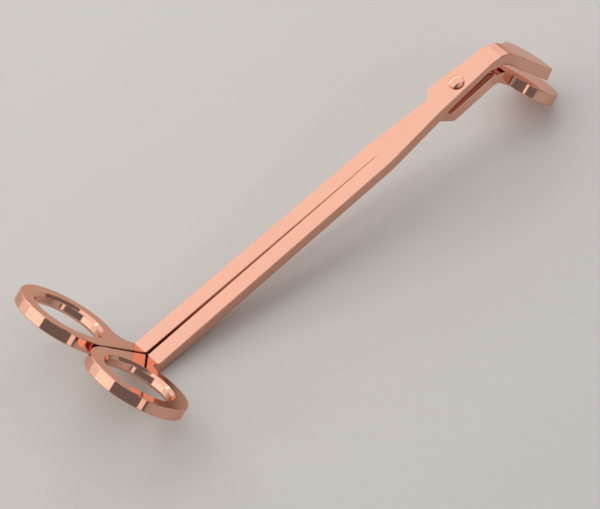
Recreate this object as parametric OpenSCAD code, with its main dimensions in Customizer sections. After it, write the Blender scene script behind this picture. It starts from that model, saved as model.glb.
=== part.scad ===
// Wick trimmer: two bent plate halves crossed on one rivet, like scissors.
// The halves are drawn flat on the joint plane, +X towards the jaws and +Y to the left,
// and are then raised into the posture in which the closed tool lies on a table.

/* [Plate] */
// Thickness of the plate that both halves are cut from
plate_t = 3.3; // [2.6:0.1:4]
// Running gap between the two joint plates
plate_gap = 0.1; // [0.06:0.02:0.2]

/* [Arms] */
// Pivot to the corner where each arm bends up to its finger ring
arm_reach = 110; // [90:1:135]
// Pivot to the station where the arms turn in towards the joint
arm_turn = 29; // [24:1:36]
// Width of each arm
arm_w = 4.5; // [3.6:0.1:5.4]
// Gap between the two arms where they turn in, when the tool is closed
arm_gap = 2.3; // [1.6:0.1:2.8]
// Gap between the two arms at the bends to the finger rings
neck_gap = 0.9; // [0.6:0.1:1.6]
// How far the middle of the gap lies to the left of the centre line
arm_side = 0.2; // [0:0.05:0.3]

/* [Finger rings] */
// Outer radius of a finger ring
ring_r = 14; // [12:0.5:17]
// Wall radius of the finger hole
finger_hole_r = 9.4; // [8:0.1:10.5]
// Chamfer on both edges of the finger hole
finger_chamfer = 0.8; // [0.3:0.1:1.2]
// Bend corner to the centre of the finger ring
ring_setback = 17.7; // [16.5:0.1:22]
// Gap between the two finger rings when the tool is closed
ring_gap = 0.6; // [0.4:0.1:2]
// Height of the ring plane above the joint plane at the bend corner
ring_level = 2.5; // [1.5:0.1:3.2]
// Angle by which the rings are bent up from the arms
ring_bend = 58; // [45:1:65]
// Inside radius of the ring bend
ring_bend_r = 1.2; // [0.6:0.1:2.5]
// Fillet between an arm's outer edge and its finger ring
neck_fillet = 4; // [2:0.5:4]

/* [Joint plates] */
// Pivot to the foot of the shoulder, behind the rivet
shoulder_foot = 9.4; // [8:0.1:11]
// Pivot to the outer corner of the shoulder
shoulder_corner = 6.5; // [5.5:0.1:7.5]
// How far an arm's inner edge has crossed the centre line at the shoulder foot
arm_cross = 1; // [0.5:0.1:1.5]
// Narrow side of the blade half's joint plate, centre line to edge, at the shoulder
blade_narrow_back = 3.7; // [3.2:0.1:4.4]
// Narrow side of the blade half's joint plate at the jaw
blade_narrow_front = 2.9; // [2.7:0.1:3.4]
// Narrow side of the tray half's joint plate at the shoulder
tray_narrow_back = 4.6; // [3.8:0.1:4.8]
// Narrow side of the tray half's joint plate at the jaw
tray_narrow_front = 3; // [2.7:0.1:3.4]
// Wide side of the blade half's joint plate at the shoulder
blade_wide_back = 4.7; // [4.2:0.1:5.4]
// Wide side of the blade half's joint plate at the jaw
blade_wide_front = 3.1; // [3:0.1:4.4]
// Wide side of the tray half's joint plate at the shoulder
tray_wide_back = 4.4; // [4.2:0.1:5.6]
// Wide side of the tray half's joint plate at the jaw
tray_wide_front = 4; // [3.6:0.1:4.8]

/* [Blade] */
// How far the inner corner of the blade's bend lies in front of the tray's outer one
jaw_lead = 2.27; // [1.6:0.05:4]
// Angle by which the blade is bent down
blade_bend = 58; // [50:0.5:60]
// Outside radius of the blade half's bend
blade_bend_r = 9.5; // [7:0.5:10]
// Bend corner to the centre of the blade's round nose
nose_set = 16.4; // [14:0.1:18]
// Radius of the blade's round nose, centred on the tool
nose_r = 7.6; // [6.5:0.1:8.5]
// Straight run of the blade's left edge behind the nose
heel_run = 2.5; // [1:0.1:4]
// Bend corner to the start of the ground cutting edge
grind_start = 9.4; // [7.6:0.1:10]
// Cutting edge, to the right of the centre line, where the grinding starts
edge_side = 4.3; // [4:0.1:4.6]
// Angle at which the cutting edge runs out to the right towards the tip
edge_angle = 4; // [2:1:8]
// Angle of the ground face, from square to the plate
grind_angle = 15; // [8:1:20]

/* [Tray] */
// Pivot to the corner where the tray half bends down
tray_reach = 11.5; // [10.5:0.1:11.6]
// Angle by which the tray is bent down
tray_bend = 57; // [50:0.5:60]
// Outside radius of the tray half's bend
tray_bend_r = 6.5; // [5:0.5:8]
// Bend corner to the centre of the round tray
tray_set = 17.4; // [16:0.1:19]
// Centre of the tray, to the right of the centre line
tray_side = 1.4; // [0.5:0.1:2]
// Radius of the round tray
tray_r = 9.7; // [9:0.1:11]
// Straight cutting edge of the tray, to the left of the centre line
tray_edge = 7; // [6:0.1:7.5]

/* [Rivet] */
// Radius of the rivet's shank
shank_r = 1.6; // [1.2:0.1:2]
// Radial running clearance of the blade half on the shank
pivot_clearance = 0.05; // [0.02:0.01:0.1]
// How far the rivet's head reaches past its shank
head_overhang = 0.5; // [0.4:0.05:1.4]
// Height of the head's straight side
head_rim = 0.5; // [0.2:0.1:0.8]
// Rise of the dome on the head
head_rise = 0.4; // [0.2:0.1:0.6]
// Clearance under the head
head_clearance = 0.05; // [0.02:0.01:0.1]
// How far the peened tail reaches past the shank
tail_overhang = 0.5; // [0.4:0.05:1.2]
// Height of the peened tail
tail_h = 0.5; // [0.3:0.1:0.8]

/* [Hidden] */
plating = "#dfa58c";
rivet_plating = "#e6b49c";
$fn = 96;
cut = 1;          // how far a cutting shape runs past what it cuts
broad = 60;       // wider than any part of the tool
bend_steps = 24;  // flats that each bend is made of

blade_top = plate_gap / 2 + plate_t;
tray_top = -plate_gap / 2;
ring_side = ring_gap / 2 + ring_r;
neck_inner = neck_gap / 2;
neck_outer = neck_inner + arm_w;
blade_reach = tray_reach + jaw_lead + plate_t * tan(blade_bend / 2);
head_r = shank_r + head_overhang;
tail_r = shank_r + tail_overhang;

// Angle at which an arm's top falls towards its joint plate.
function arm_slope(top) = atan((ring_level - top) / (arm_reach - arm_turn));
// Length of the tangent from a bend's corner to where its arc starts.
function tangent_len(radius, angle) = radius * tan(angle / 2);
// Unit vectors in the XZ plane: along a surface that falls by an angle towards +X, and square to it.
function along(angle) = [cos(angle), -sin(angle)];
function square_to(angle) = [sin(angle), cos(angle)];
// Points round a bend. A negative radius gives the side that faces the centre from above.
function bend_points(centre, radius, from, to) =
    [for (i = [0:bend_steps]) centre + radius * square_to(from + (to - from) * i / bend_steps)];

ring_corner = [-arm_reach, ring_level];
ring_far = ring_corner - (ring_setback + ring_r + cut) * along(ring_bend);
function heel_centre(slope) =
    ring_corner + tangent_len(ring_bend_r, ring_bend - slope) * along(slope)
    + ring_bend_r * square_to(slope);
// The lower side's corner under a corner of the upper side, where the fall changes.
function under(corner, from, to) =
    corner - plate_t / cos((to - from) / 2) * square_to((from + to) / 2);

// Resting posture: the tray half's ring bend and the tray's lower edge both touch the table.
heel = heel_centre(arm_slope(tray_top));
heel_r = ring_bend_r + plate_t;
tray_corner = [tray_reach, tray_top];
blade_corner = [blade_reach, blade_top];
tray_front = tray_corner + (tray_set + tray_r) * along(tray_bend);
toe = tray_front - plate_t * square_to(tray_bend);
toe_run = toe - heel;
rest_tilt = acos(heel_r / norm(toe_run)) - atan2(toe_run.x, -toe_run.y);
function rest_x(p) = p.x * cos(rest_tilt) - p.y * sin(rest_tilt);
function rest_z(p) = p.x * sin(rest_tilt) + p.y * cos(rest_tilt);
ring_back = ring_corner - (ring_setback + ring_r) * along(ring_bend) - plate_t * square_to(ring_bend);
nose_front = blade_corner + (nose_set + nose_r) * along(blade_bend);
middle_x = (rest_x(ring_back) + max(rest_x(tray_front), rest_x(nose_front))) / 2;

module at_rest() {
    translate([-middle_x, 0, -rest_z(toe)]) rotate([0, -rest_tilt, 0]) children();
}

// Side view of a half: ring plane, ring bend, arm, joint plate, jaw bend and jaw, one plate thick.
function side_view(top, corner, jaw_bend, jaw_r, jaw_len) =
    let (slope = arm_slope(top),
         heel_c = heel_centre(slope),
         knee = [-arm_turn, top],
         jaw_c = corner - [tangent_len(jaw_r, jaw_bend), jaw_r],
         jaw_far = corner + (jaw_len + cut) * along(jaw_bend))
    concat(
        [ring_far], bend_points(heel_c, -ring_bend_r, ring_bend, slope), [knee],
        bend_points(jaw_c, jaw_r, 0, jaw_bend), [jaw_far, jaw_far - plate_t * square_to(jaw_bend)],
        bend_points(jaw_c, jaw_r - plate_t, jaw_bend, 0), [under(knee, slope, 0)],
        bend_points(heel_c, -heel_r, slope, ring_bend), [ring_far - plate_t * square_to(ring_bend)]);

module bent_plate(top, corner, jaw_bend, jaw_r, jaw_len) {
    intersection() {
        rotate([90, 0, 0]) linear_extrude(broad, center = true)
            polygon(side_view(top, corner, jaw_bend, jaw_r, jaw_len));
        union() children();
    }
}

// Seen from above: the arm and joint plate of the half whose arm lies on the right.
// narrow and wide give the joint plate's two sides, each at the shoulder and at the jaw.
module arm_outline(knee_inner, narrow, wide, front) {
    knee_outer = knee_inner + arm_w;
    linear_extrude(broad, center = true) polygon([
        [-arm_reach, -neck_outer], [-arm_turn, -knee_outer],
        [-shoulder_foot, -narrow[0]], [front, -narrow[1]],
        [front, wide[1]], [-shoulder_corner, wide[0]], [-shoulder_foot, arm_cross],
        [-arm_turn, -knee_inner], [-arm_reach, -neck_inner],
        [-arm_reach - cut, -neck_inner], [-arm_reach - cut, -neck_outer]]);
}

// Seen square to the ring plane: neck and finger ring of the half whose arm lies on the right.
module ring_outline() {
    fillet_y = neck_outer + neck_fillet;
    reach = ring_r + neck_fillet;
    fillet_x = sqrt(reach * reach - pow(ring_side - fillet_y, 2)) - ring_setback;
    web = [-ring_setback, -ring_side] + ring_r / reach * [fillet_x + ring_setback, ring_side - fillet_y];
    translate([ring_corner.x, 0, ring_corner.y]) rotate([0, ring_bend, 0])
        linear_extrude(4 * plate_t, center = true) {
            translate([-ring_setback, -ring_side]) circle(ring_r);
            translate([-ring_setback, -neck_outer]) square([ring_setback + cut, arm_w]);
            difference() {
                polygon([[-ring_setback, -neck_outer], [fillet_x, -neck_outer], [fillet_x, -fillet_y],
                    web, [-ring_setback, -ring_side]]);
                translate([fillet_x, -fillet_y]) circle(neck_fillet);
            }
        }
}

// Hole through the ring of the half whose arm lies on the right, chamfered on both sides.
module finger_hole() {
    wide_r = finger_hole_r + finger_chamfer + cut;
    translate([ring_corner.x, 0, ring_corner.y]) rotate([0, ring_bend, 0])
        translate([-ring_setback, -ring_side, 0]) {
            translate([0, 0, -plate_t - cut]) cylinder(h = plate_t + 2 * cut, r = finger_hole_r);
            translate([0, 0, -finger_chamfer])
                cylinder(h = finger_chamfer + cut, r1 = finger_hole_r, r2 = wide_r);
            translate([0, 0, -plate_t - cut])
                cylinder(h = finger_chamfer + cut, r1 = wide_r, r2 = finger_hole_r);
        }
}

module pivot_hole(radius) {
    cylinder(h = 2 * (plate_t + plate_gap + cut), r = radius, center = true);
}

// Stands an outline, drawn square to a jaw's plate, at the jaw's corner.
module on_jaw(corner, jaw_bend) {
    translate([corner.x, 0, corner.y]) rotate([0, jaw_bend, 0]) children();
}

module blade_outline() {
    flat_start = tangent_len(blade_bend_r, blade_bend);
    on_jaw(blade_corner, blade_bend) linear_extrude(4 * plate_t, center = true) intersection() {
        union() {
            translate([nose_set, 0]) circle(nose_r);
            polygon([[-cut, -broad / 2], [nose_set, -broad / 2], [nose_set, nose_r],
                [nose_set - heel_run, nose_r], [flat_start, blade_wide_front], [-cut, blade_wide_front]]);
        }
        polygon([[-cut, broad], [broad, broad],
            [broad, -edge_side - (broad - grind_start) * tan(edge_angle)], [grind_start, -edge_side],
            [grind_start - (edge_side - blade_narrow_front), -blade_narrow_front],
            [-cut, -blade_narrow_front]]);
    }
}

// What the grinding takes off the blade's right side, leaving its lower edge sharp.
module ground_face() {
    on_jaw(blade_corner, blade_bend) translate([grind_start, -edge_side, -plate_t])
        rotate([0, 0, -edge_angle]) rotate([-grind_angle, 0, 0])
            translate([-plate_t, -broad, 0]) cube(broad);
}

module tray_outline() {
    on_jaw(tray_corner, tray_bend) linear_extrude(4 * plate_t, center = true) difference() {
        union() {
            translate([-cut, -tray_wide_front]) square([tray_set, tray_wide_front + tray_narrow_front]);
            translate([tray_set, -tray_side]) circle(tray_r);
        }
        translate([0, tray_edge]) square(broad);
    }
}

module blade_half() {
    color(plating) at_rest() difference() {
        bent_plate(blade_top, blade_corner, blade_bend, blade_bend_r, nose_set + nose_r) {
            arm_outline(arm_gap / 2 - arm_side, [blade_narrow_back, blade_narrow_front],
                [blade_wide_back, blade_wide_front], blade_reach + cut);
            ring_outline();
            blade_outline();
        }
        finger_hole();
        ground_face();
        pivot_hole(shank_r + pivot_clearance);
    }
}

module tray_half() {
    color(plating) at_rest() difference() {
        bent_plate(tray_top, tray_corner, tray_bend, tray_bend_r, tray_set + tray_r) {
            mirror([0, 1, 0]) arm_outline(arm_gap / 2 + arm_side, [tray_narrow_back, tray_narrow_front],
                [tray_wide_back, tray_wide_front], tray_reach + cut);
            mirror([0, 1, 0]) ring_outline();
            tray_outline();
        }
        mirror([0, 1, 0]) finger_hole();
        pivot_hole(shank_r);
    }
}

// A low dome: a cap of a sphere that stands on a flat round base.
module dome(base_r, height) {
    sphere_r = (base_r * base_r + height * height) / (2 * height);
    intersection() {
        translate([0, 0, height - sphere_r]) sphere(sphere_r);
        cylinder(h = height + cut, r = base_r);
    }
}

module pivot_rivet() {
    head_z = blade_top + head_clearance;
    color(rivet_plating) at_rest() {
        translate([0, 0, tray_top - plate_t]) cylinder(h = plate_t - tray_top + head_z, r = shank_r);
        translate([0, 0, head_z]) cylinder(h = head_rim, r = head_r);
        translate([0, 0, head_z + head_rim]) dome(head_r, head_rise);
        translate([0, 0, tray_top - plate_t]) mirror([0, 0, 1]) dome(tail_r, tail_h);
    }
}

tray_half();
blade_half();
pivot_rivet();
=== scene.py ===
"""Wick trimmer in mirror-polished, rose-gold plated stainless steel plate.

Each half is laid out as a flat blank, given softened edges, and bent along its side view.
Sizes are in millimetres and carry the same names as in the part's source.
"""

import math

import bpy
import numpy as np
from mathutils import Matrix, Vector
from mathutils.geometry import delaunay_2d_cdt


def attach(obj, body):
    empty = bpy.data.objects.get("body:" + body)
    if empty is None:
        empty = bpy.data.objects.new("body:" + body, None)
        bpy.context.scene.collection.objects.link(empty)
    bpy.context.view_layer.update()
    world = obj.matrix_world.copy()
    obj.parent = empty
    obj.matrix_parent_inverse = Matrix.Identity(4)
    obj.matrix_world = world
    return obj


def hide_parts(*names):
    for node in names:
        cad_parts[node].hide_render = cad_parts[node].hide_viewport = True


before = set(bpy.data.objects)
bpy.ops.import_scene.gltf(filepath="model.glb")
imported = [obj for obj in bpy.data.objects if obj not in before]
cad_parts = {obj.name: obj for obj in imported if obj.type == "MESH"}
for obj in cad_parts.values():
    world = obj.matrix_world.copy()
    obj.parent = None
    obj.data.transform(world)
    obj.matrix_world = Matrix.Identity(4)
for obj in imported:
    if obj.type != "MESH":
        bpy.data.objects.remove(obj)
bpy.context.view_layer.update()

MM = 0.001

# Plate
PLATE_T = 3.3
PLATE_GAP = 0.1
# Arms
ARM_REACH = 110
ARM_TURN = 29
ARM_W = 4.5
ARM_GAP = 2.3
NECK_GAP = 0.9
ARM_SIDE = 0.2
# Finger rings
RING_R = 14
FINGER_HOLE_R = 9.4
FINGER_CHAMFER = 0.8
RING_SETBACK = 17.7
RING_GAP = 0.6
RING_LEVEL = 2.5
RING_BEND = 58
RING_BEND_R = 1.2
NECK_FILLET = 4
# Joint
SHOULDER_FOOT = 9.4
SHOULDER_CORNER = 6.5
ARM_CROSS = 1
BLADE_NARROW_BACK = 3.7
BLADE_NARROW_FRONT = 2.9
TRAY_NARROW_BACK = 4.6
TRAY_NARROW_FRONT = 3
BLADE_WIDE_BACK = 4.7
BLADE_WIDE_FRONT = 3.1
TRAY_WIDE_BACK = 4.4
TRAY_WIDE_FRONT = 4
# Blade
JAW_LEAD = 2.27
BLADE_BEND = 58
BLADE_BEND_R = 9.5
NOSE_SET = 16.4
NOSE_R = 7.6
HEEL_RUN = 2.5
GRIND_START = 9.4
EDGE_SIDE = 4.3
EDGE_ANGLE = 4
GRIND_ANGLE = 15
# Tray
TRAY_REACH = 11.5
TRAY_BEND = 57
TRAY_BEND_R = 6.5
TRAY_SET = 17.4
TRAY_SIDE = 1.4
TRAY_R = 9.7
TRAY_EDGE = 7
# Rivet
SHANK_R = 1.6
PIVOT_CLEARANCE = 0.05
HEAD_OVERHANG = 0.5
HEAD_RIM = 0.5
HEAD_RISE = 0.4
HEAD_CLEARANCE = 0.05
TAIL_OVERHANG = 0.5
TAIL_H = 0.5

# Finish of the edges
EDGE_ROUND = 0.26  # polished edge of a plate
CHAMFER_ROUND = 0.1  # soft line where a chamfer meets a face
PIVOT_ROUND = 0.05  # edge of the pivot hole
KEEN_EDGE = 0.04  # what is left of a cutting edge
KEEN_MARGIN = 0.02  # how far off the cutting edge a point still counts as on it
RIVET_EDGE = 0.14  # rolled edge of the rivet's head and tail
# How far an outline's corner is cut back along each side
CORNER_ROUND = 0.55
NECK_EASE = 0.5  # where a neck passes the ring bend
TURN_EASE = 2.5  # where an arm turns towards its joint plate
FOOT_EASE = 2  # where an arm runs into its joint plate
CROSS_EASE = 1.2  # inner corner where the arms cross
HEEL_EASE = 0.3  # both ends of the slope that leads to the cutting edge
TIP_EASE = 0.6  # front end of the cutting edge
FLARE_EASE = 0.8  # where a jaw widens past its bend
# Small offsets in an outline
HEEL_LEAD = 0.3  # length added to the slope that leads to the cutting edge
BLADE_SWELL = 0.15  # extra width of the blade's plate where its bend starts
TRAY_SWELL = 0.1  # the same for the tray's plate
# Fineness
BEND_STEPS = 36
KNEE_STEPS = 6
CIRCLE_STEPS = 160
FILLET_STEPS = 24
NOSE_STEPS = 60
DOME_STEPS = 18
EASE_STEPS = 7
RIVET_TURNS = 96

KNEE_R = 70  # radius of the slight set in an arm
SPARE = 5  # how far the side view runs on past both ends of a half
LEAST_REACH = 0.7  # keeps an inset from running out at a sharp corner
RIVET_SHARP = 50  # angle in degrees from which the rivet's edges stay crisp

BLADE_TOP = PLATE_GAP / 2 + PLATE_T
TRAY_TOP = -PLATE_GAP / 2
RING_SIDE = RING_GAP / 2 + RING_R
NECK_INNER = NECK_GAP / 2
NECK_OUTER = NECK_INNER + ARM_W
BLADE_REACH = TRAY_REACH + JAW_LEAD + PLATE_T * math.tan(math.radians(BLADE_BEND / 2))
HEAD_R = SHANK_R + HEAD_OVERHANG
TAIL_R = SHANK_R + TAIL_OVERHANG


# ---------------------------------------------------------------- resting posture


def tangent_len(radius, angle):
    """Length from a bend's corner to the start of its arc."""
    return radius * math.tan(math.radians(angle) / 2)


def along(angle):
    """Unit vector in side view, along a surface that falls by the angle towards +X."""
    return np.array([math.cos(math.radians(angle)), -math.sin(math.radians(angle))])


def square_to(angle):
    """Unit vector in side view, square to that surface and upwards."""
    return np.array([math.sin(math.radians(angle)), math.cos(math.radians(angle))])


def arm_slope(top):
    """Angle at which an arm's top falls towards its joint plate."""
    return math.degrees(math.atan((RING_LEVEL - top) / (ARM_REACH - ARM_TURN)))


def rest_posture():
    """Turn and shift that take the arms' own frame to the tool at rest on the table."""
    ring_corner = np.array([-ARM_REACH, RING_LEVEL])
    slope = arm_slope(TRAY_TOP)
    heel = ring_corner + tangent_len(RING_BEND_R, RING_BEND - slope) * along(slope)
    heel = heel + RING_BEND_R * square_to(slope)
    tray_front = np.array([TRAY_REACH, TRAY_TOP]) + (TRAY_SET + TRAY_R) * along(TRAY_BEND)
    toe = tray_front - PLATE_T * square_to(TRAY_BEND)
    run = toe - heel
    tilt = math.acos((RING_BEND_R + PLATE_T) / np.hypot(*run)) - math.atan2(run[0], -run[1])
    turn = np.array([[math.cos(tilt), -math.sin(tilt)], [math.sin(tilt), math.cos(tilt)]])
    back = ring_corner - (RING_SETBACK + RING_R) * along(RING_BEND) - PLATE_T * square_to(RING_BEND)
    nose = np.array([BLADE_REACH, BLADE_TOP]) + (NOSE_SET + NOSE_R) * along(BLADE_BEND)
    front = max((turn @ tray_front)[0], (turn @ nose)[0])
    middle = ((turn @ back)[0] + front) / 2
    return turn, np.array([middle, (turn @ toe)[1]])


REST_TURN, REST_SHIFT = rest_posture()


def to_rest(points, normals=None):
    """Moves points (mm) and turns normals from the arms' own frame to the resting one (m)."""
    side = points[:, [0, 2]] @ REST_TURN.T - REST_SHIFT
    placed = np.stack([side[:, 0], points[:, 1], side[:, 1]], axis=1) * MM
    if normals is None:
        return placed
    turned = normals[:, [0, 2]] @ REST_TURN.T
    return placed, np.stack([turned[:, 0], normals[:, 1], turned[:, 1]], axis=1)


# ---------------------------------------------------------------- side view of a half


class SideView:
    """The line that a half's top surface follows, by the length along it from the pivot."""

    def __init__(self, top, reach, jaw_bend, jaw_r, jaw_len):
        self.slope = arm_slope(top)
        self.ring_tangent = tangent_len(RING_BEND_R, RING_BEND - self.slope)
        self.jaw_tangent = tangent_len(jaw_r, jaw_bend)
        knee_tangent = tangent_len(KNEE_R, abs(self.slope))
        arm_len = math.hypot(ARM_REACH - ARM_TURN, RING_LEVEL - top)
        self.runs = [
            (RING_SETBACK + RING_R + SPARE - self.ring_tangent, RING_BEND, RING_BEND),
            (RING_BEND_R * math.radians(RING_BEND - self.slope), RING_BEND, self.slope),
            (arm_len - self.ring_tangent - knee_tangent, self.slope, self.slope),
            (KNEE_R * math.radians(abs(self.slope)), self.slope, 0),
            (ARM_TURN - knee_tangent + reach - self.jaw_tangent, 0, 0),
            (jaw_r * math.radians(jaw_bend), 0, jaw_bend),
            (jaw_len + SPARE - self.jaw_tangent, jaw_bend, jaw_bend),
        ]
        marks = np.concatenate([[0], np.cumsum([run[0] for run in self.runs])])
        self.marks = marks + (reach - self.jaw_tangent) - marks[5]
        self.ring_bend, self.knee, self.jaw_bend = self.marks[1:3], self.marks[3:5], self.marks[5:7]
        self.starts = [np.zeros(2)]
        for k, run in enumerate(self.runs):
            self.starts.append(self._point(k, run[0]))
        shift = np.array([reach - self.jaw_tangent, top]) - self.starts[5]
        self.starts = [start + shift for start in self.starts]

    def _point(self, k, run):
        """Point at a length into one run, which is straight or an arc."""
        length, first, last = self.runs[k]
        if first == last:
            return self.starts[k] + run * along(first)
        bend = math.radians(last - first) / length
        a = math.radians(first)
        b = a + bend * run
        return self.starts[k] + np.array([math.sin(b) - math.sin(a), math.cos(b) - math.cos(a)]) / bend

    def at(self, s):
        """Point and falling angle at a length along the line."""
        k = int(np.clip(np.searchsorted(self.marks, s) - 1, 0, len(self.runs) - 1))
        length, first, last = self.runs[k]
        run = s - self.marks[k]
        return self._point(k, run), first + (last - first) * run / length

    def ring(self, u):
        """Length along the line for a place on the ring plane, counted from the bend's corner."""
        return self.ring_bend[0] + self.ring_tangent + u

    def arm(self, x):
        """Length along the line for a place on the joint plate or the arm, counted from the pivot."""
        if x > -ARM_TURN:
            return x
        return -ARM_TURN + (x + ARM_TURN) / math.cos(math.radians(self.slope))

    def jaw(self, u):
        """Length along the line for a place on the jaw's plate, counted from the bend's corner."""
        return self.jaw_bend[1] - self.jaw_tangent + u

    def stations(self):
        """Lengths at which the blank is creased so that it can bend."""
        ring = np.linspace(*self.ring_bend, BEND_STEPS // 2 + 1)
        knee = np.linspace(*self.knee, KNEE_STEPS + 1)
        jaw = np.linspace(*self.jaw_bend, BEND_STEPS + 1)
        return np.concatenate([ring, knee, jaw])

    def bend(self, blank, normals):
        """Bends points of the flat blank, given as length, side and height, and their normals."""
        points = np.empty_like(blank)
        turned = np.empty_like(normals)
        for i, (s, y, h) in enumerate(blank):
            place, angle = self.at(s)
            ahead, up = along(angle), square_to(angle)
            points[i, [0, 2]] = place + h * up
            points[i, 1] = y
            turned[i, [0, 2]] = normals[i, 0] * ahead + normals[i, 2] * up
            turned[i, 1] = normals[i, 1]
        return points, turned


# ---------------------------------------------------------------- outlines


def arc(centre, radius, start, end, steps):
    """Points of an arc between two angles in degrees."""
    angles = np.radians(np.linspace(start, end, steps + 1))
    return [(centre[0] + radius * math.cos(a), centre[1] + radius * math.sin(a)) for a in angles]


def ring_arc(view):
    """Neck and finger ring of the half whose arm lies on the right, from inner to outer edge."""
    centre = (view.ring(-RING_SETBACK), -RING_SIDE)
    inner = math.degrees(math.asin((RING_SIDE - NECK_INNER) / RING_R))
    fillet_y = NECK_OUTER + NECK_FILLET
    span = RING_R + NECK_FILLET
    lift = math.degrees(math.asin((RING_SIDE - fillet_y) / span))
    fillet = (centre[0] + span * math.cos(math.radians(lift)), -fillet_y)
    outline = [(view.ring(0), -NECK_INNER, NECK_EASE)]
    outline += arc(centre, RING_R, inner, 360 + lift, CIRCLE_STEPS)
    outline += arc(fillet, NECK_FILLET, 180 + lift, 90, FILLET_STEPS)[1:]
    outline += [(view.ring(0), -NECK_OUTER, NECK_EASE)]
    return outline, centre


def blade_blank(view, lean):
    """Outline of the blade half. lean is how far the ground face has drawn in at that height."""
    x, u = view.arm, view.jaw
    back, centre = ring_arc(view)
    inner = ARM_GAP / 2 - ARM_SIDE
    nose = (u(NOSE_SET), 0)
    turn = math.radians(EDGE_ANGLE)
    ahead = np.array([math.cos(turn), -math.sin(turn)])
    inward = np.array([math.sin(turn), math.cos(turn)])
    heel = np.array([u(GRIND_START), -EDGE_SIDE]) + lean * inward
    to_nose = heel - nose
    reach = -to_nose @ ahead + math.sqrt((to_nose @ ahead) ** 2 - to_nose @ to_nose + NOSE_R**2)
    tip = heel + reach * ahead
    tip_angle = math.degrees(math.atan2(tip[1] - nose[1], tip[0] - nose[0]))
    slope_start = u(GRIND_START) - (EDGE_SIDE - BLADE_NARROW_FRONT) - HEEL_LEAD
    outline = [
        (x(-ARM_TURN), -inner - ARM_W, TURN_EASE),
        (x(-SHOULDER_FOOT), -BLADE_NARROW_BACK, FOOT_EASE),
        (x(BLADE_REACH - view.jaw_tangent), -BLADE_NARROW_FRONT),
        (slope_start, -BLADE_NARROW_FRONT, HEEL_EASE),
        (*heel, HEEL_EASE),
        (*tip, TIP_EASE),
    ]
    outline += arc(nose, NOSE_R, tip_angle, 90, NOSE_STEPS)[1:]
    outline += [
        (u(NOSE_SET - HEEL_RUN), NOSE_R, FLARE_EASE),
        (u(view.jaw_tangent), BLADE_WIDE_FRONT, FLARE_EASE),
        (x(BLADE_REACH - view.jaw_tangent), BLADE_WIDE_FRONT + BLADE_SWELL),
        (x(-SHOULDER_CORNER), BLADE_WIDE_BACK, CORNER_ROUND),
        (x(-SHOULDER_FOOT), ARM_CROSS, CROSS_EASE),
        (x(-ARM_TURN), -inner, TURN_EASE),
    ]
    return outline + back, centre


def tray_blank(view):
    """Outline of the tray half, drawn as if its arm lay on the right, and mirrored afterwards."""
    x, u = view.arm, view.jaw
    back, centre = ring_arc(view)
    inner = ARM_GAP / 2 + ARM_SIDE
    middle = (u(TRAY_SET), TRAY_SIDE)

    def angle(y):
        return math.degrees(math.asin((y - middle[1]) / TRAY_R))

    left, right, edge = angle(TRAY_WIDE_FRONT), angle(-TRAY_NARROW_FRONT), angle(-TRAY_EDGE)
    outline = [
        (x(-ARM_TURN), -inner - ARM_W, TURN_EASE),
        (x(-SHOULDER_FOOT), -TRAY_NARROW_BACK, FOOT_EASE),
        (x(TRAY_REACH - view.jaw_tangent), -TRAY_NARROW_FRONT),
    ]
    outline += eased_arc(middle, 180 - right, 180 - edge, FLARE_EASE, CORNER_ROUND)
    outline += eased_arc(middle, 360 + edge, 540 - left, CORNER_ROUND, FLARE_EASE)
    outline += [
        (u(view.jaw_tangent), TRAY_WIDE_FRONT),
        (x(TRAY_REACH - view.jaw_tangent), TRAY_WIDE_FRONT + TRAY_SWELL),
        (x(-SHOULDER_CORNER), TRAY_WIDE_BACK, CORNER_ROUND),
        (x(-SHOULDER_FOOT), ARM_CROSS, CROSS_EASE),
        (x(-ARM_TURN), -inner, TURN_EASE),
    ]
    return outline + back, centre


def eased_arc(middle, start, end, first, last):
    """Arc of the tray's rim whose two ends are corners to be eased."""
    steps = max(4, round(abs(end - start) / 360 * CIRCLE_STEPS))
    points = arc(middle, TRAY_R, start, end, steps)
    points[0] = (*points[0], first)
    points[-1] = (*points[-1], last)
    return points


def step_along(points, i, direction, run):
    """Point at a run along a closed outline from corner i, and the next index left beyond it."""
    here = np.array(points[i][:2])
    while True:
        i = (i + direction) % len(points)
        there = np.array(points[i][:2])
        gap = np.hypot(*(there - here))
        if gap > run:
            return here + (there - here) * run / gap, i
        run -= gap
        here = there


def ease_corners(points):
    """Rounds the corners of a closed outline that carry a third number, the run to cut back."""
    count = len(points)
    dropped = set()
    rounds = {}
    for i, point in enumerate(points):
        if len(point) < 3:
            continue
        first, before = step_along(points, i, -1, point[2])
        last, after = step_along(points, i, 1, point[2])
        k = (before + 1) % count
        while k != after:
            dropped.add(k)
            k = (k + 1) % count
        corner = np.array(point[:2])
        t = np.linspace(0, 1, EASE_STEPS + 1)[:, None]
        rounds[i] = (1 - t) ** 2 * first + 2 * t * (1 - t) * corner + t**2 * last
    eased = []
    for i, point in enumerate(points):
        if i in rounds:
            eased += [tuple(p) for p in rounds[i]]
        elif i not in dropped:
            eased.append(tuple(point[:2]))
    return np.array(eased)


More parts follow.
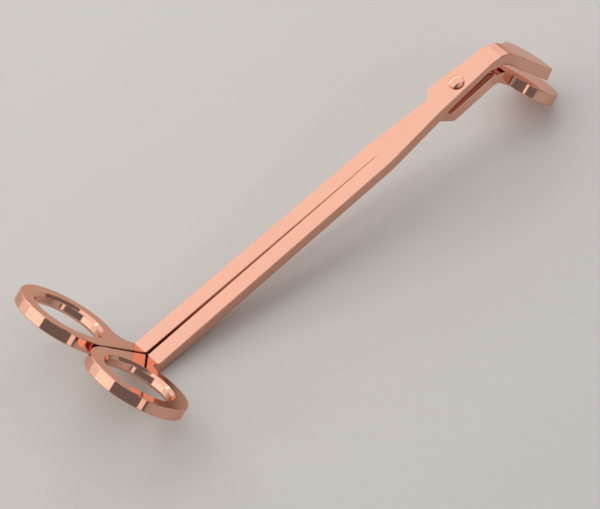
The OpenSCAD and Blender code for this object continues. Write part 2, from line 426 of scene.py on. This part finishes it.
def crease(loops, stations):
    """Adds a point to every outline wherever a station crosses it, and pairs the new points.

    The outlines are versions of one shape at different heights, with the same count of points.
    """
    lead = loops[0]
    added = [[] for _ in loops]
    owners = {k: [] for k in range(len(stations))}
    index = 0
    for i in range(len(lead)):
        j = (i + 1) % len(lead)
        for group, loop in zip(added, loops):
            group.append(loop[i])
        index += 1
        a, b = lead[i][0], lead[j][0]
        crossed = [k for k, s in enumerate(stations) if min(a, b) < s < max(a, b)]
        for k in sorted(crossed, key=lambda k: abs(stations[k] - a)):
            t = (stations[k] - a) / (b - a)
            for group, loop in zip(added, loops):
                group.append(loop[i] + t * (loop[j] - loop[i]))
            owners[k].append(index)
            index += 1
    pairs = [pair for pair in owners.values() if len(pair) == 2]
    return [np.array(group) for group in added], pairs


# ---------------------------------------------------------------- plates from outlines


def inward_of(loop):
    """Direction into the metal at each point of an outline, long enough to keep an even inset."""
    ahead = np.roll(loop, -1, axis=0) - loop
    ahead /= np.linalg.norm(ahead, axis=1)[:, None]
    before = np.roll(ahead, 1, axis=0)
    left_a = np.stack([-ahead[:, 1], ahead[:, 0]], axis=1)
    left_b = np.stack([-before[:, 1], before[:, 0]], axis=1)
    mean = left_a + left_b
    mean /= np.linalg.norm(mean, axis=1)[:, None]
    return mean, np.clip((mean * left_a).sum(axis=1), LEAST_REACH, 1)


def unit(vectors):
    """Rows of vectors, each made one long."""
    return vectors / np.linalg.norm(vectors, axis=1)[:, None]


def rim(corners, heights, rounds, steps=4):
    """Rows of points and normals that run over an edge profile from the top face to the bottom.

    corners are outlines, one for each corner of the profile, and rounds says how far each
    corner is softened, as one number or one for each point.
    """
    inward, reach = inward_of(corners[0])
    flat_in = np.column_stack([inward / reach[:, None], np.zeros(len(inward))])
    out = -np.column_stack([inward, np.zeros(len(inward))])
    tangent = np.column_stack([inward[:, 1], -inward[:, 0], np.zeros(len(inward))])
    solid = [np.column_stack([c, np.full(len(c), h)]) for c, h in zip(corners, heights)]
    up = np.tile([0.0, 0.0, 1.0], (len(inward), 1))
    facing = [up]
    for a, b in zip(solid, solid[1:]):
        face = unit(np.cross(unit(b - a), tangent))
        face *= np.sign((face * out).sum(axis=1))[:, None]
        facing.append(face)
    facing.append(-up)
    rows, normals = [], []
    for k, corner in enumerate(solid):
        size = np.broadcast_to(np.asarray(rounds[k], float), (len(corner),))[:, None]
        back = flat_in if k == 0 else unit(solid[k - 1] - corner)
        on = flat_in if k == len(solid) - 1 else unit(solid[k + 1] - corner)
        first, last = corner + size * back, corner + size * on
        for t in np.linspace(0, 1, steps + 1):
            rows.append((1 - t) ** 2 * first + 2 * t * (1 - t) * corner + t**2 * last)
            normals.append(unit((1 - t) * facing[k] + t * facing[k + 1]))
    return rows, normals


def inside(point, loops):
    """Whether a point lies in the metal between an outer outline and its holes."""
    odd = False
    for loop in loops:
        a, b = loop, np.roll(loop, -1, axis=0)
        spans = (a[:, 1] > point[1]) != (b[:, 1] > point[1])
        with np.errstate(divide="ignore", invalid="ignore"):
            cross = a[:, 0] + (point[1] - a[:, 1]) * (b[:, 0] - a[:, 0]) / (b[:, 1] - a[:, 1])
        odd ^= bool(np.count_nonzero(spans & (point[0] < cross)) % 2)
    return odd


def cap(loops, pairs):
    """Triangles that fill a face between its outlines, creased along the paired points."""
    flat = np.concatenate(loops)
    edges = list(pairs)
    start = 0
    for loop in loops:
        count = len(loop)
        edges += [(start + i, start + (i + 1) % count) for i in range(count)]
        start += count
    result = delaunay_2d_cdt([Vector(p) for p in flat], edges, [], 0, 1e-7)
    points, _, faces, owners = result[:4]
    names = [owner[0] for owner in owners]
    kept = []
    for face in faces:
        middle = np.mean([points[i] for i in face], axis=0)
        if inside(middle, loops):
            kept.append([names[i] for i in face])
    return kept


def plate(name, view, rims, pairs, mirrored):
    """Closed mesh of a bent plate. rims are the edge rows of its outer outline and its holes."""
    points, normals, faces, outward = [], [], [], []
    base = 0
    firsts, lasts = [], []
    for rows, facing in rims:
        count = len(rows[0])
        points += rows
        normals += facing
        for k in range(len(rows) - 1):
            a, b = base + k * count, base + (k + 1) * count
            for i in range(count):
                j = (i + 1) % count
                faces.append((a + i, b + i, b + j, a + j))
        firsts.append((base, rows[0][:, :2]))
        lasts.append((base + (len(rows) - 1) * count, rows[-1][:, :2]))
        base += len(rows) * count
    for ends, flip in ((firsts, False), (lasts, True)):
        lookup = np.concatenate([np.arange(start, start + len(loop)) for start, loop in ends])
        for face in cap([loop for _, loop in ends], pairs):
            ids = [int(lookup[i]) for i in face]
            faces.append(tuple(reversed(ids)) if flip else tuple(ids))
    blank, facing = np.concatenate(points), np.concatenate(normals)
    spread = blank[:, :2] - blank[:, 2:] * facing[:, :2]
    bent, turned = view.bend(blank, facing)
    if mirrored:
        bent[:, 1] *= -1
        turned[:, 1] *= -1
        faces = [tuple(reversed(face)) for face in faces]
    placed, turned = to_rest(bent, turned)
    mesh = new_mesh(name, placed, faces, spread * MM)
    mesh.normals_split_custom_set_from_vertices([tuple(n) for n in unit(turned)])
    return new_object(name, mesh)


def new_mesh(name, points, faces, spread):
    """Smoothly shaded mesh with a flat map of the blank."""
    mesh = bpy.data.meshes.new(name)
    mesh.from_pydata([tuple(p) for p in points], [], faces)
    mesh.update()
    for polygon in mesh.polygons:
        polygon.use_smooth = True
    layer = mesh.uv_layers.new(name="blank")
    corners = np.empty(len(mesh.loops), dtype=np.int32)
    mesh.loops.foreach_get("vertex_index", corners)
    layer.data.foreach_set("uv", np.asarray(spread)[corners].astype(np.float32).ravel())
    return mesh


def new_object(name, data):
    """Object in the scene that shows a mesh, a light or a camera."""
    made = bpy.data.objects.new(name, data)
    bpy.context.scene.collection.objects.link(made)
    return made


def hole_rim(centre, radii, heights, rounds):
    """Edge rows of a round hole, which runs the other way round than an outer outline."""
    loops = [np.array(arc(centre, r, 360, 0, CIRCLE_STEPS))[:-1] for r in radii]
    return rim(loops, heights, rounds, steps=3)


def make_blade_half():
    """Blade half, whose cutting edge is ground to a lean and left keen."""
    view = SideView(BLADE_TOP, BLADE_REACH, BLADE_BEND, BLADE_BEND_R, NOSE_SET + NOSE_R)
    lean = PLATE_T * math.tan(math.radians(GRIND_ANGLE))
    top, centre = blade_blank(view, lean)
    bottom, _ = blade_blank(view, 0)
    loops, pairs = crease([ease_corners(top), ease_corners(bottom)], view.stations())
    keen = np.full(len(loops[1]), EDGE_ROUND)
    run, side = loops[1][:, 0] - view.jaw(GRIND_START), loops[1][:, 1]
    edge_side = -EDGE_SIDE - run * math.tan(math.radians(EDGE_ANGLE))
    keen[(run > 0) & (side < -EDGE_SIDE) & (side > edge_side - KEEN_MARGIN)] = KEEN_EDGE
    outer = rim(loops, [0, -PLATE_T], [EDGE_ROUND, keen])
    return plate("blade_half_polished", view, [outer, *holes(centre)], pairs, False)


def make_tray_half():
    """Tray half, made as if its arm lay on the right and then mirrored."""
    view = SideView(TRAY_TOP, TRAY_REACH, TRAY_BEND, TRAY_BEND_R, TRAY_SET + TRAY_R)
    outline, centre = tray_blank(view)
    (loop,), pairs = crease([ease_corners(outline)], view.stations())
    outer = rim([loop, loop], [0, -PLATE_T], [EDGE_ROUND, EDGE_ROUND])
    return plate("tray_half_polished", view, [outer, *holes(centre)], pairs, True)


def holes(ring_centre):
    """Edge rows of a half's chamfered finger hole and of its pivot hole."""
    wide = FINGER_HOLE_R + FINGER_CHAMFER
    finger = hole_rim(
        ring_centre,
        [wide, FINGER_HOLE_R, FINGER_HOLE_R, wide],
        [0, -FINGER_CHAMFER, FINGER_CHAMFER - PLATE_T, -PLATE_T],
        [CHAMFER_ROUND] * 4,
    )
    pivot = hole_rim((0, 0), [SHANK_R + PIVOT_CLEARANCE] * 2, [0, -PLATE_T], [PIVOT_ROUND] * 2)
    return finger, pivot


def dome(radius, rim, rise, seat, way):
    """Profile of a domed button with a rolled edge, from its pole to its seat, as radius and height."""
    flat = radius - RIVET_EDGE
    ball = (flat**2 + rise**2) / (2 * rise)
    sweep = np.linspace(90, math.degrees(math.acos(flat / ball)), DOME_STEPS)
    crown = rim + rise - ball
    points = [(ball * math.cos(a), crown + ball * math.sin(a)) for a in np.radians(sweep)]
    points += [
        (radius - RIVET_EDGE * 0.5, rim - RIVET_EDGE * 0.15),
        (radius - RIVET_EDGE * 0.1, rim - RIVET_EDGE * 0.55),
        (radius, rim - RIVET_EDGE * 1.2),
        (radius, RIVET_EDGE * 0.5),
        (radius - RIVET_EDGE * 0.5, 0),
    ]
    return [(max(r, 0.0), seat + way * z) for r, z in points]


def make_rivet():
    """Turned rivet: a low domed head with a rolled edge, its shank, and a peened tail."""
    head_seat = BLADE_TOP + HEAD_CLEARANCE
    tail_seat = TRAY_TOP - PLATE_T
    top = dome(HEAD_R, HEAD_RIM, HEAD_RISE, head_seat, 1)
    bottom = dome(TAIL_R, TAIL_H * 0.4, TAIL_H * 0.6, tail_seat, -1)
    profile = top + [(SHANK_R, head_seat), (SHANK_R, tail_seat)] + bottom[::-1]
    turns = RIVET_TURNS
    points, faces = [], []
    for r, z in profile[1:-1]:
        for k in range(turns):
            a = 2 * math.pi * k / turns
            points.append((r * math.cos(a), r * math.sin(a), z))
    rows = len(profile) - 2
    for row in range(rows - 1):
        for k in range(turns):
            n = (k + 1) % turns
            faces.append((row * turns + k, (row + 1) * turns + k, (row + 1) * turns + n, row * turns + n))
    top_pole, bottom_pole = len(points), len(points) + 1
    points += [(0, 0, profile[0][1]), (0, 0, profile[-1][1])]
    last = (rows - 1) * turns
    for k in range(turns):
        n = (k + 1) % turns
        faces.append((top_pole, k, n))
        faces.append((bottom_pole, last + n, last + k))
    points = np.array(points)
    mesh = new_mesh("rivet_domed", to_rest(points), faces, points[:, :2] * MM)
    mesh.set_sharp_from_angle(angle=math.radians(RIVET_SHARP))
    return new_object("rivet_domed", mesh)


# ---------------------------------------------------------------- materials


def shade(hex_colour):
    """Linear colour from an sRGB hex value."""
    parts = [int(hex_colour[i : i + 2], 16) / 255 for i in (1, 3, 5)]
    linear = [c / 12.92 if c <= 0.04045 else ((c + 0.055) / 1.055) ** 2.4 for c in parts]
    return (*linear, 1.0)


def add(tree, kind, links=(), inputs=(), **settings):
    """Adds a node with its settings and input values, and links outputs of others to it."""
    node = tree.nodes.new(kind)
    for key, value in settings.items():
        setattr(node, key, value)
    for key, value in dict(inputs).items():
        node.inputs[key].default_value = value
    for key, source in dict(links).items():
        tree.links.new(source, node.inputs[key])
    return node


def blend_colours(tree, factor, low, high):
    """Colour that runs from one to the other as the factor rises."""
    ramp = add(tree, "ShaderNodeValToRGB", {"Fac": factor})
    ramp.color_ramp.elements[0].color = low
    ramp.color_ramp.elements[1].color = high
    return ramp.outputs["Color"]


def rose_gold_plated_steel(name, tones, roughness):
    """Mirror-polished stainless steel with a rose-gold plating.

    The plating is a pale copper pink that deepens to red where metal mirrors metal. The
    buffing wheel leaves faint lines along the plate, and handling leaves a few dull smudges.
    """
    material = bpy.data.materials.new(name)
    material.use_nodes = True
    tree = material.node_tree
    tree.nodes.clear()
    blank = add(tree, "ShaderNodeUVMap", uv_map="blank").outputs["UV"]
    solid = add(tree, "ShaderNodeTexCoord").outputs["Object"]

    # Plating thickness drifts over 25 mm or so.
    drift = add(tree, "ShaderNodeTexNoise", {"Vector": solid}, {"Scale": 40, "Detail": 3}).outputs["Fac"]
    colour = blend_colours(tree, drift, shade(tones[0]), shade(tones[1]))

    # Smudges of 6 mm, sparse.
    smudge = add(
        tree,
        "ShaderNodeTexNoise",
        {"Vector": solid},
        {"Scale": 160, "Detail": 6, "Roughness": 0.62, "Distortion": 0.6},
    ).outputs["Fac"]
    dull = add(
        tree,
        "ShaderNodeMapRange",
        {"Value": smudge},
        {"From Min": 0.46, "From Max": 0.72, "To Min": roughness[0], "To Max": roughness[1]},
        interpolation_type="SMOOTHSTEP",
    ).outputs["Result"]

    # Buffing lines 0.15 mm apart and 12 mm long; real ones are finer, and wouldn't show.
    lay = add(tree, "ShaderNodeMapping", {"Vector": blank}, {"Scale": (80, 6500, 1)}).outputs["Vector"]
    lines = add(tree, "ShaderNodeTexNoise", {"Vector": lay}, {"Scale": 1, "Detail": 2}).outputs["Fac"]
    # The wheel also leaves the plate very slightly wavy, every 9 mm.
    waves = add(tree, "ShaderNodeTexNoise", {"Vector": solid}, {"Scale": 110, "Detail": 1}).outputs["Fac"]
    fine = add(
        tree, "ShaderNodeBump", {"Height": lines}, {"Strength": 1.0, "Distance": 0.0000006}
    ).outputs["Normal"]
    bump = add(
        tree, "ShaderNodeBump", {"Height": waves, "Normal": fine}, {"Strength": 1.0, "Distance": 0.000012}
    ).outputs["Normal"]

    surface = add(
        tree,
        "ShaderNodeBsdfPrincipled",
        {"Base Color": colour, "Roughness": dull, "Normal": bump},
        {"Metallic": 1.0, "Specular Tint": shade("#ffe2d4")},
    ).outputs["BSDF"]
    add(tree, "ShaderNodeOutputMaterial", {"Surface": surface})
    return material


def matt_paper(name, hex_colour):
    """Seamless studio paper: pale, matt, with a barely visible fibre mottle."""
    material = bpy.data.materials.new(name)
    material.use_nodes = True
    tree = material.node_tree
    tree.nodes.clear()
    solid = add(tree, "ShaderNodeTexCoord").outputs["Object"]
    mottle = add(tree, "ShaderNodeTexNoise", {"Vector": solid}, {"Scale": 900, "Detail": 3}).outputs["Fac"]
    colour = shade(hex_colour)
    darker = tuple(c * 0.97 for c in colour[:3]) + (1.0,)
    tone = blend_colours(tree, mottle, darker, colour)
    surface = add(
        tree, "ShaderNodeBsdfPrincipled", {"Base Color": tone}, {"Roughness": 0.6, "Specular IOR Level": 0.3}
    ).outputs["BSDF"]
    add(tree, "ShaderNodeOutputMaterial", {"Surface": surface})
    return material


# ---------------------------------------------------------------- the object

plated = rose_gold_plated_steel("rose_gold_plated_steel", ("#dfa893", "#e7b4a0"), (0.045, 0.13))
rivet_plated = rose_gold_plated_steel("rose_gold_rivet_steel", ("#dfa690", "#e7b29d"), (0.08, 0.16))

blade = make_blade_half()
tray = make_tray_half()
rivet = make_rivet()

for piece, body, node, slot, finish in (
    (blade, "blade_side", "blade_half", "plated_steel", plated),
    (tray, "tray_side", "tray_half", "plated_steel", plated),
    (rivet, "tray_side", "pivot_rivet", "rivet_steel", rivet_plated),
):
    piece.data.materials.append(finish)
    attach(piece, body)
    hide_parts(node)


# ---------------------------------------------------------------- studio


def soft_light(name, place, aim, size, power, colour):
    """Rectangular soft box that faces the aim."""
    light = bpy.data.lights.new(name, "AREA")
    light.shape = "RECTANGLE"
    light.size, light.size_y = size
    light.energy = power
    light.color = shade(colour)[:3]
    lamp = new_object(name, light)
    lamp.location = place
    lamp.rotation_euler = (Vector(aim) - Vector(place)).to_track_quat("-Z", "Y").to_euler()


def studio():
    """Pale paper floor, soft boxes all round, and a dim air for what they leave open."""
    half = 4.0
    floor_mesh = bpy.data.meshes.new("floor_paper")
    floor_mesh.from_pydata(
        [(-half, -half, 0), (half, -half, 0), (half, half, 0), (-half, half, 0)], [], [(0, 1, 2, 3)]
    )
    floor_mesh.materials.append(matt_paper("pale_studio_paper", "#e1e0de"))
    floor = new_object("floor_paper", floor_mesh)
    floor.location.z = -0.05 * MM

    # Tops of the arms and of the joint plate
    soft_light("soft_box_above", (0.15, 0.45, 0.70), (0.07, 0, 0), (1.4, 0.8), 3.6, "#fffaf6")
    # Crest of the blade's bend and the left ends of the rings' walls
    soft_light("soft_wall_left", (0.35, 0.85, 0.36), (0.35, 0, 0.36), (2.4, 0.72), 4.9, "#fffaf6")
    # Cream bands on the rings' outer walls
    soft_light("soft_wall_back", (-0.83, 0.413, 0.51), (-0.07, 0, 0.01), (0.70, 0.85), 2.5, "#fff6ec")
    # Lower half of the rivet's dome
    soft_light("soft_box_top", (0.12, -0.22, 1.0), (0.05, 0, 0), (0.9, 0.5), 0.9, "#fffaf6")
    # Thin glints along the right-hand edges
    soft_light("soft_box_right", (0.30, -0.85, 0.60), (0.05, 0, 0.01), (1.1, 0.45), 1.3, "#fffaf6")
    # One narrow stripe across each ring's wall
    soft_light("soft_strip_right", (-0.42, -0.66, 0.22), (0, 0, 0.02), (0.10, 0.4), 0.12, "#fff4ea")

    world = bpy.data.worlds.new("studio_air")
    world.use_nodes = True
    back = world.node_tree.nodes["Background"]
    back.inputs["Color"].default_value = shade("#c4c4c6")
    back.inputs["Strength"].default_value = 0.35
    bpy.context.scene.world = world


def viewpoint():
    """Camera at the working viewpoint: behind and to the right of the tool, looking down."""
    data = bpy.data.cameras.new("view")
    data.sensor_width = 36
    data.lens = 190.77
    data.clip_start = 0.01
    data.clip_end = 20
    camera = new_object("view", data)
    right = Vector((0.75535, -0.65078, -0.07700)).normalized()
    ahead = Vector((0.38632, 0.53712, -0.74984)).normalized()
    up = right.cross(ahead)
    turn = Matrix((right, up, -ahead)).transposed().to_4x4()
    camera.matrix_world = Matrix.Translation(Vector((-0.32787, -0.44661, 0.62379))) @ turn
    bpy.context.scene.camera = camera


studio()
viewpoint()

bpy.context.scene.view_settings.view_transform = "Standard"
